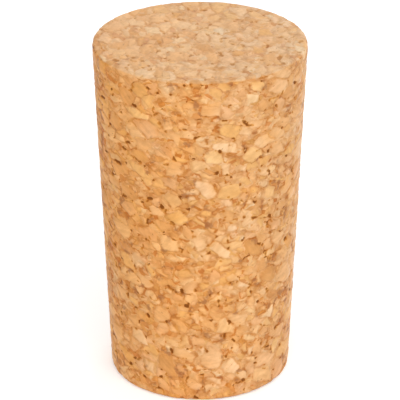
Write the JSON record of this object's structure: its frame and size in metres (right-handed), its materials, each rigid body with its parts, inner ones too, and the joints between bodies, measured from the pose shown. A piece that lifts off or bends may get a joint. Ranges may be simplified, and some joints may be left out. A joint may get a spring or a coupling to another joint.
{
  "type": "cork stopper",
  "caption": "Tapered bottle stopper ground from pressed cork granules, standing on its narrow end, with flat ends and lightly rounded rims.",
  "frame": {"origin": "centre of the narrow end face, which the stopper stands on", "axes": "+Z along the axis of the taper, from the narrow end up to the wide end; X and Y are alike, as the stopper is round"},
  "size_m": [0.024, 0.024, 0.04],
  "materials": {
    "cork": "matt ground surface of pressed cork granules, golden tan with cream, orange and brown grains and small dark gaps"
  },
  "bodies": {
    "root": {"stopper": "cork"}
  },
  "joints": []
}
